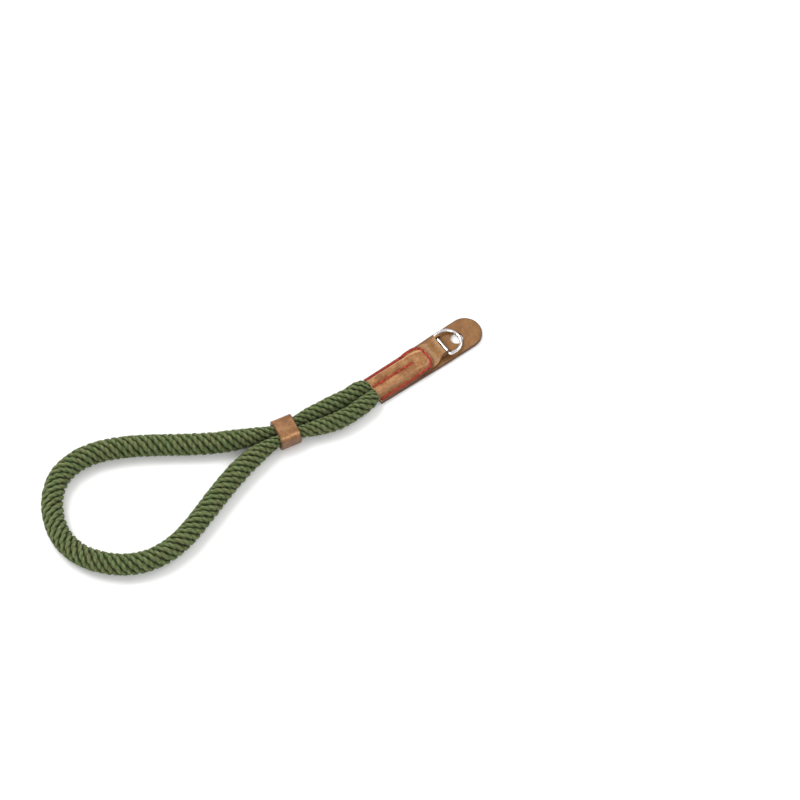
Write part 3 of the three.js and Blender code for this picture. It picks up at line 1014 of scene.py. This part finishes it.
def add_flap():
    straight = np.concatenate(
        [
            np.linspace(flap_low[0] + EDGE_ROUND, FLAP_WIDE_X, FLAP_ROWS),
            np.linspace(FLAP_WIDE_X, FLAP_TIP_CENTRE_X, FLAP_WIDE_ROWS)[1:],
        ]
    )
    turn = np.radians(np.linspace(0, FLAP_TIP_TURN, FLAP_TIP_ROWS))[1:]
    inner = FLAP_HALF - EDGE_ROUND
    rows = np.concatenate([straight, FLAP_TIP_CENTRE_X + inner * np.sin(turn)])
    edge = np.concatenate([flap_side(straight) - EDGE_ROUND, inner * np.cos(turn)])
    x, y = plan_grid(rows, edge, FLAP_COLUMNS)
    flat = np.stack([x.ravel(), y.ravel()], axis=1)
    top = (FLAP_TOP + crease(flat, size=3.1, depth=FLAP_CREASE) - FLAP_CREASE).reshape(x.shape)
    upper = np.stack([x, y, top], axis=2)
    lower = np.stack([x, y, flap_under_at(x, y)], axis=2)
    points, faces, on_rim = rimmed_sheet(upper, lower, EDGE_ROUND)
    out = np.hypot(np.maximum(points[:, 0] - FLAP_TIP_CENTRE_X, 0), points[:, 1])
    worn = edge_wear(flap_side(points[:, 0]) - out, width=0.75)
    values = {"edge": np.maximum(worn, RIM_DARK["flap"] * on_rim)}
    flap = add_mesh("flap_leather", points, faces, leather["flap_leather"], values=values)
    bore = np.array([(LUG_HOLE_X, 0.0, -CUT_PAST), (LUG_HOLE_X, 0.0, FLAP_TOP + CUT_PAST)])
    cut(flap, *tube(bore, LUG_HOLE_RADIUS, LUG_HOLE_SIDES))
    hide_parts("protector_flap")
    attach(flap, "strap")


# ---- ring tab ----

BAR_CLEARANCE = 0.06
TAB_BACK_HALF = tab_high[1]
TAB_NECK_HALF = 5.0
TAB_NECK = (-8.2, -2.6)  # where it narrows
TAB_FOOT_X = -6.9
TAB_TOP_X = -0.6
TAB_UNDER_END_X = -2.6
TAB_UNDER_LIFT = 0.1
TAB_FLAT_STEP = 0.4
TAB_RISE_STEPS = 23
TAB_FOLD_ROWS = 19
TAB_UNDER_ROWS = 8
TAB_COLUMNS = 35
WINDOW_X = -1.3
WINDOW_SIDES = (-4.7, 3.9)
WINDOW_CORNER = 0.9
WINDOW_CORNER_POINTS = 7
WINDOW_END_X = 6.0
WINDOW_TOP_Z = 9.0
WINDOW_FLOOR_LIFT = 0.02


def tab_line():
    """The tab's middle surface seen from the side: (x, z) from under the cover, up over the bar
    and back beneath it."""
    low = FLAP_TOP + SEAM + TAB_THICK / 2
    fold = RING_WIRE + BAR_CLEARANCE + TAB_THICK / 2
    flat_x = np.arange(tab_low[0], TAB_FOOT_X, TAB_FLAT_STEP)
    flat = np.stack([flat_x, np.full_like(flat_x, low)], axis=1)
    t = np.linspace(0, 1, TAB_RISE_STEPS + 1)[:-1, None]
    reach = (TAB_TOP_X - TAB_FOOT_X) / 2
    ends = np.array(
        [
            (TAB_FOOT_X, low),
            (TAB_FOOT_X + reach, low),
            (TAB_TOP_X - reach, BAR_Z + fold),
            (TAB_TOP_X, BAR_Z + fold),
        ]
    )
    weights = np.concatenate(
        [(1 - t) ** 3, 3 * t * (1 - t) ** 2, 3 * t**2 * (1 - t), t**3], axis=1
    )
    rise = weights @ ends
    turn = np.radians(np.linspace(90, -90, TAB_FOLD_ROWS))
    bend = np.stack([fold * np.cos(turn), BAR_Z + fold * np.sin(turn)], axis=1)
    back_x = np.linspace(0, TAB_UNDER_END_X, TAB_UNDER_ROWS)
    back_z = np.linspace(BAR_Z - fold, low + TAB_UNDER_LIFT, TAB_UNDER_ROWS)
    return np.concatenate([flat, rise, bend, np.stack([back_x, back_z], axis=1)[1:]])


def tab_window():
    """The outline in plan of what is cut from the tab, so that the bar shows."""
    turn = np.radians(np.linspace(0, 90, WINDOW_CORNER_POINTS))
    near, far = WINDOW_SIDES

    def corner(side, sign):
        return [
            (
                WINDOW_X + WINDOW_CORNER * (1 - math.sin(angle)),
                side + sign * WINDOW_CORNER * (1 - math.cos(angle)),
            )
            for angle in turn
        ]

    return [(WINDOW_END_X, near), (WINDOW_END_X, far)] + corner(far, -1) + corner(near, 1)[::-1]


def add_tab():
    line = tab_line()
    along = unit(np.gradient(line, axis=0))
    across = np.stack([-along[:, 1], along[:, 0]], axis=1)
    x = line[:, 0]
    past_fold = np.arange(len(line)) > np.argmax(x)
    narrowing = smoothstep(np.where(past_fold, TAB_NECK[1], x), *TAB_NECK)
    half = TAB_BACK_HALF + (TAB_NECK_HALF - TAB_BACK_HALF) * narrowing - EDGE_ROUND

    def grid(side):
        x, y = plan_grid(side[:, 0], half, TAB_COLUMNS)
        return np.stack([x, y, np.repeat(side[:, 1:], TAB_COLUMNS, axis=1)], axis=2)

    upper = grid(line + across * TAB_THICK / 2)
    lower = grid(line - across * TAB_THICK / 2)
    flat = upper.reshape(-1, 3)[:, :2]
    upper[..., 2] += crease(flat, size=2.6, depth=0.04).reshape(upper.shape[:2])
    points, faces, on_rim = rimmed_sheet(upper, lower, EDGE_ROUND)
    values = {"edge": RIM_DARK["tab"] * on_rim}
    tab = add_mesh("ring_tab_leather", points, faces, leather["tab_leather_painted_light"], values=values)
    outline = tab_window()
    count = len(outline)
    floor_z = BAR_Z - RING_WIRE - BAR_CLEARANCE + WINDOW_FLOOR_LIFT
    cutter = [(x, y, z) for z in (floor_z, WINDOW_TOP_Z) for x, y in outline]
    sides = [(i, (i + 1) % count, count + (i + 1) % count, count + i) for i in range(count)]
    ends = [tuple(reversed(range(count))), tuple(range(count, 2 * count))]
    cut(tab, cutter, sides + ends)
    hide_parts("ring_tab")
    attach(tab, "strap")


# ---- ring ----

RING_HALF = 6.1
RING_CORNER = 1.2
RING_ARC_CENTRE_X = 3.3
RING_GAP = 0.3
ARC_REST_Z = FLAP_TOP + RING_GAP + RING_WIRE
BAR_POINTS = 24
SIDE_POINTS = 5
CORNER_POINTS = 10
ARC_POINTS = 72
WIRE_SIDES = 20


def arc(centre_x, centre_y, radius, begin, end, count):
    turn = np.radians(np.linspace(begin, end, count))
    return np.stack(
        [centre_x + radius * np.cos(turn), centre_y + radius * np.sin(turn)], axis=1
    )


def between(begin, end, count):
    """count points on the straight from one point to another, without its ends."""
    ends = zip(begin, end)
    return np.column_stack([np.linspace(low, high, count + 2)[1:-1] for low, high in ends])


def add_ring():
    inner = RING_HALF - RING_CORNER
    arc_x = RING_ARC_CENTRE_X
    path = np.concatenate(
        [
            between((0, inner), (0, -inner), BAR_POINTS),
            arc(RING_CORNER, -inner, RING_CORNER, 180, 270, CORNER_POINTS),
            between((RING_CORNER, -RING_HALF), (arc_x, -RING_HALF), SIDE_POINTS),
            arc(arc_x, 0, RING_HALF, -90, 90, ARC_POINTS),
            between((arc_x, RING_HALF), (RING_CORNER, RING_HALF), SIDE_POINTS),
            arc(RING_CORNER, inner, RING_CORNER, 90, 180, CORNER_POINTS),
        ]
    )
    tilt = math.atan2(BAR_Z - ARC_REST_Z, RING_ARC_CENTRE_X + RING_HALF)
    line = np.stack(
        [path[:, 0] * math.cos(tilt), path[:, 1], BAR_Z - path[:, 0] * math.sin(tilt)], axis=1
    )
    ring = add_mesh("ring_wire", *tube(line, RING_WIRE, WIRE_SIDES, closed=True), chrome)
    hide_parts("ring")
    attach(ring, "ring")


# ---- keeper ----

KEEPER_TURN = math.radians(-11)
KEEPER_LENGTH = 9.8
KEEPER_HALF = 6.6
KEEPER_THICK = 1.3
KEEPER_SQUARENESS = 3.4
KEEPER_ROWS = 30
KEEPER_ROUND = 112
# Its top dips between the two strands and slopes down towards the near side.
KEEPER_VALLEY = 0.35
KEEPER_VALLEY_Y = 0.2
KEEPER_VALLEY_HALF = 1.7
KEEPER_SLOPE = 0.9
# A rippled streak along the near shoulder with a painted highlight, and painted shade on the near
# side.
STREAK_Y = -4.9
STREAK_SWAY = 0.1
STREAK_WIDTH = 0.5
STREAK_ABOVE = 0.75  # of the height
STREAK_RIPPLE = 0.1
STREAK_HIGHLIGHT = 0.65
STREAK_HIGHLIGHT_RIPPLE = 0.35
NEAR_SIDE = (5.3, 6.3)
NEAR_SIDE_SHADE = 0.42


def keeper_section(inset, height):
    """The band's outline seen along the rope."""
    turn = circle(KEEPER_ROUND)
    power = 2 / KEEPER_SQUARENESS
    across = (KEEPER_HALF - inset) * np.sign(np.cos(turn)) * np.abs(np.cos(turn)) ** power
    up = (height / 2 - inset) * np.sign(np.sin(turn)) * np.abs(np.sin(turn)) ** power
    valley = KEEPER_VALLEY * bell(across - KEEPER_VALLEY_Y, KEEPER_VALLEY_HALF) * (up > 0)
    slope = KEEPER_SLOPE * np.clip(across / KEEPER_HALF, -1, 0) ** 2 * (up > 0)
    return across, height / 2 + up - valley - slope


def add_keeper():
    low, high = frame_box("keeper")
    centre = (low + high) / 2
    height = high[2] - low[2]
    end = KEEPER_LENGTH / 2
    along = np.linspace(-end + EDGE_ROUND, end - EDGE_ROUND, KEEPER_ROWS)

    def grid(inset):
        across, up = keeper_section(inset, height)
        x = np.repeat(along[:, None], KEEPER_ROUND, axis=1)
        y = np.repeat(across[None, :], KEEPER_ROWS, axis=0)
        z = np.repeat(up[None, :], KEEPER_ROWS, axis=0)
        return np.stack([x, y, z], axis=2)

    points, faces, on_rim = rimmed_sheet(grid(0), grid(KEEPER_THICK), EDGE_ROUND, wrapped=True)
    x, y, z = points.T
    worn = edge_wear(end - np.abs(x), width=0.7, power=1.5, most=0.6)
    # Painted shade on the keeper's near side, carried in the edge value.
    near_side_shade = NEAR_SIDE_SHADE * smoothstep(-y, *NEAR_SIDE)
    sway = STREAK_Y + STREAK_SWAY * np.sin(x * 1.1)
    streak = bell(y - sway, STREAK_WIDTH) * (z > STREAK_ABOVE * height)
    ripple = np.sin(x * 5.1 + 1.5 * np.sin(y * 2.5 + x))
    values = {
        "edge": np.maximum(np.maximum(worn, RIM_DARK["keeper"] * on_rim), near_side_shade),
        # Painted highlight along the streak.
        "crest": streak * (STREAK_HIGHLIGHT + STREAK_HIGHLIGHT_RIPPLE * ripple),
    }
    points[:, 2] += STREAK_RIPPLE * streak * ripple
    cos, sin = math.cos(KEEPER_TURN), math.sin(KEEPER_TURN)
    turned = points @ np.array([(cos, sin, 0), (-sin, cos, 0), (0, 0, 1)])
    turned[:, :2] += centre[:2]
    keeper = add_mesh("rope_keeper", turned, faces, leather["keeper_leather"], values=values)
    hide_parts("keeper")
    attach(keeper, "strap")


add_cover()
add_stitches()
add_flap()
add_tab()
add_ring()
add_keeper()


# ---- stage ----

FLOOR_HALF = 4000
FLOOR_TONES = [(0.2, (0.90, 0.90, 0.90)), (0.8, (0.93, 0.93, 0.925))]
# Soft boxes: name, place, size and power. They all face one place.
LIGHTS = [
    ("key", (-0.3, 0.75, 1.05), 0.8, 13.0),
    ("front", (-0.75, -0.85, 1.1), 0.8, 8.0),
    ("side", (0.9, -0.1, 0.8), 0.5, 2.5),
]
LIT_PLACE = Vector((-0.07, 0.01, 0))
# The sky's grey at a share of the way up.
SKY = [(0.5, 0.2), (0.62, 0.36), (0.85, 0.7), (1.0, 0.85)]


def add_floor():
    material, tree, shader = new_material("floor")
    tone = noise(tree, scale=6, detail=2)
    tree.links.new(ramp(tree, tone, FLOOR_TONES), shader.inputs["Base Color"])
    shader.inputs["Roughness"].default_value = 0.9
    shader.inputs["Specular IOR Level"].default_value = 0.1
    corners = [(x * FLOOR_HALF, y * FLOOR_HALF, 0) for x, y in ((-1, -1), (1, -1), (1, 1), (-1, 1))]
    floor = add_mesh("floor", corners, [(0, 1, 2, 3)], material)


def add_lights():
    for name, spot, size, power in LIGHTS:
        lamp = bpy.data.lights.new(name, "AREA")
        lamp.size = size
        lamp.energy = power
        light = bpy.data.objects.new(name, lamp)
        light.location = spot
        light.rotation_euler = (LIT_PLACE - Vector(spot)).to_track_quat("-Z", "Y").to_euler()
        bpy.context.scene.collection.objects.link(light)


def add_sky():
    world = bpy.data.worlds.new("studio")
    world.use_nodes = True
    tree = world.node_tree
    way = tree.nodes.new("ShaderNodeTexCoord").outputs["Generated"]
    height = add_node(tree, "ShaderNodeSeparateXYZ", {"Vector": way}).outputs["Z"]
    share = add_node(tree, "ShaderNodeMapRange", {"Value": height, "From Min": -1})
    greys = [(at, (grey, grey, grey)) for at, grey in SKY]
    tone = ramp(tree, share.outputs["Result"], greys)
    tree.links.new(tone, tree.nodes["Background"].inputs["Color"])
    bpy.context.scene.world = world
    bpy.context.scene.view_settings.view_transform = "Standard"


add_floor()
add_lights()
add_sky()
